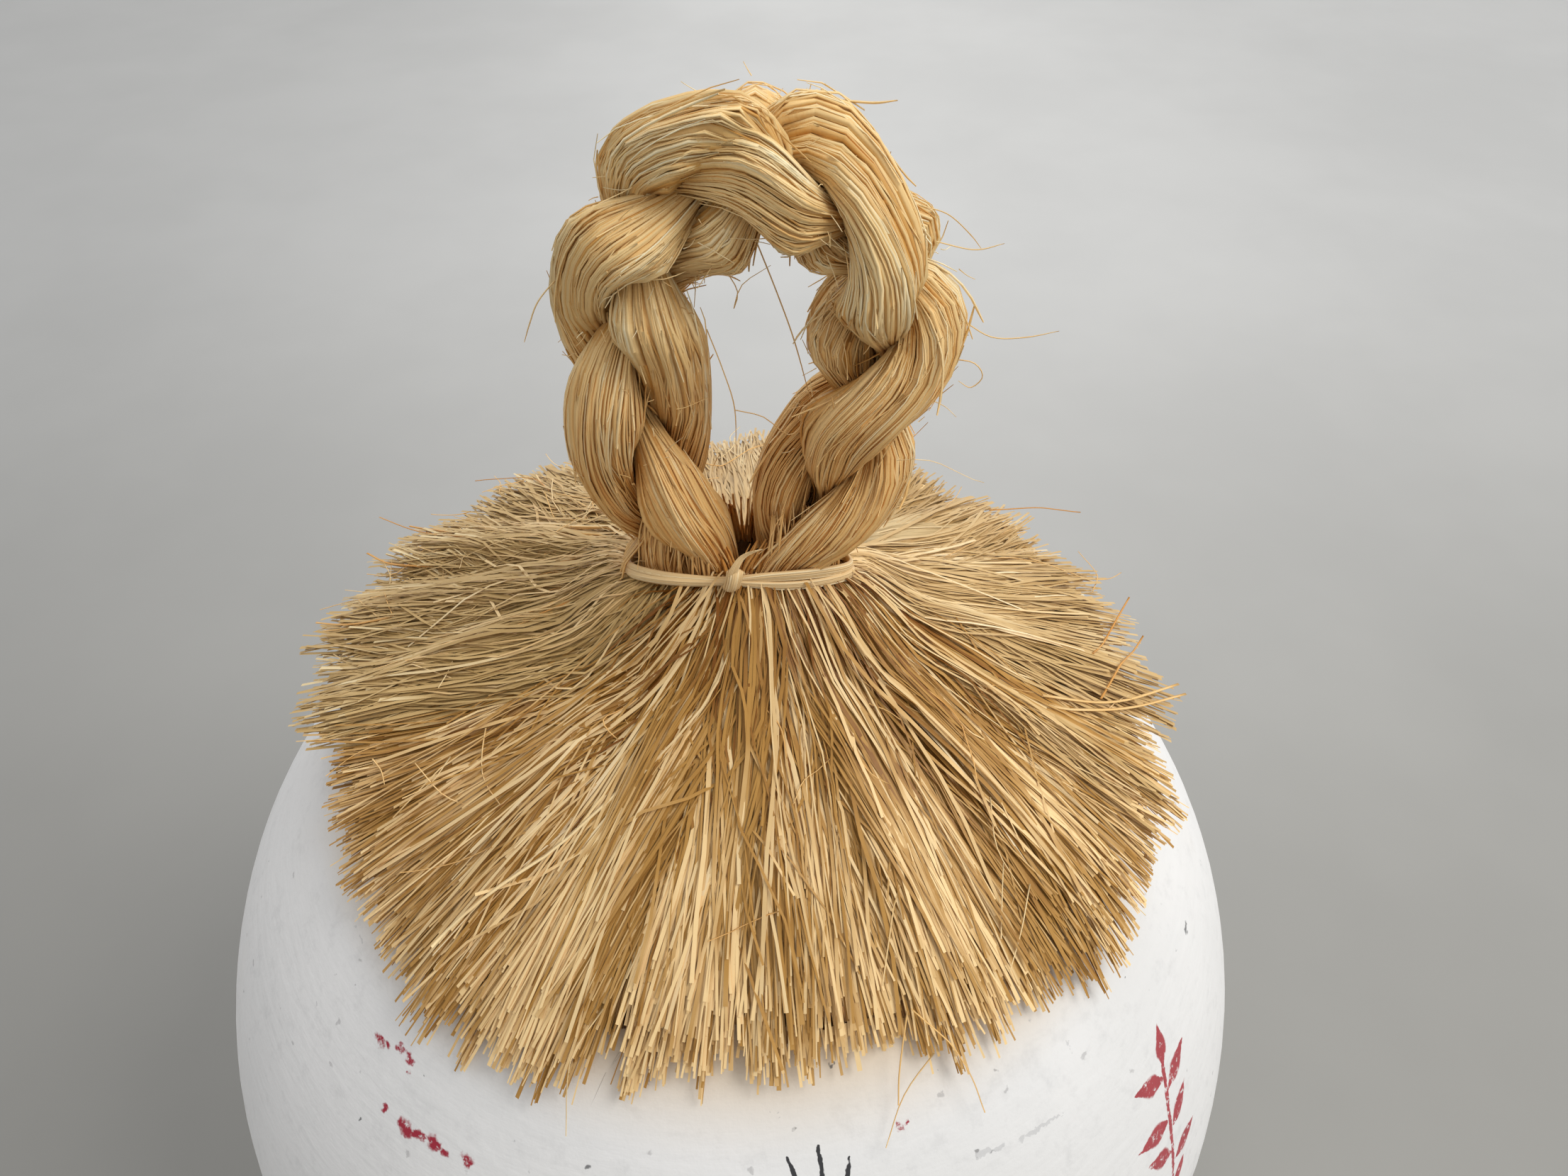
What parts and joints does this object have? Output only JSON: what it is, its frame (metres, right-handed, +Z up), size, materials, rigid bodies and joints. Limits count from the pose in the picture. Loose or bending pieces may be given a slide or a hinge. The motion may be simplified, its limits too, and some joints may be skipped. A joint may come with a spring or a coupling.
{
  "type": "clay bell",
  "caption": "Hollow ball of white-painted fired clay with a sound slit below, hung by a braided hemp loop whose loose ends fan out over the crown.",
  "frame": {"origin": "middle of the foot's underside, where the bell stands", "axes": "+Z up through the crown and the braided loop, +X to the right along the slit and the loop's width, -Y towards the side with the knot"},
  "size_m": [0.072, 0.0718, 0.1007],
  "materials": {
    "painted_clay": "chalky matte white paint over fired clay, with worn flecks and brush marks",
    "hemp_fibre": "combed golden hemp fibre, straight and slightly glossy",
    "hemp_ribbon": "flat pale hemp ribbon, a few fibres wide"
  },
  "bodies": {
    "root": {"bell_body": "painted_clay", "hemp_skirt": "hemp_fibre", "braid_strand_first": "hemp_fibre", "braid_strand_second": "hemp_fibre", "braid_strand_third": "hemp_fibre", "hemp_tie": "hemp_ribbon"}
  },
  "joints": []
}
